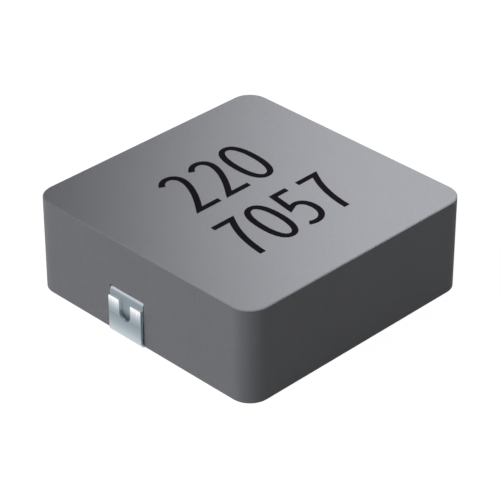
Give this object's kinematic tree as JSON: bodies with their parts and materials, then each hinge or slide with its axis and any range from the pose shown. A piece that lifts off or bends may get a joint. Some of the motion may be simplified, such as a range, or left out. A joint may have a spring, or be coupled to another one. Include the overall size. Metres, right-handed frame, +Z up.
{
  "type": "shielded smd inductor",
  "caption": "Square moulded power inductor: a dark powder block pressed round a flat-wire coil, with a notched tinned clip folded down opposite sides and under the block as solder pads.",
  "frame": {"origin": "on the board plane, under the middle of the block", "axes": "+X from the left clip to the right clip, +Y along the block's plain sides towards the side that the clips sit nearer to, +Z up from the solder pads to the flat top"},
  "size_m": [0.0128, 0.0126, 0.0044],
  "materials": {
    "moulded_block": "matte",
    "winding": "satin",
    "clip": "satin"
  },
  "bodies": {
    "root": {"moulded_block": "moulded_block", "winding": "winding", "left_clip": "clip", "right_clip": "clip"}
  },
  "joints": []
}
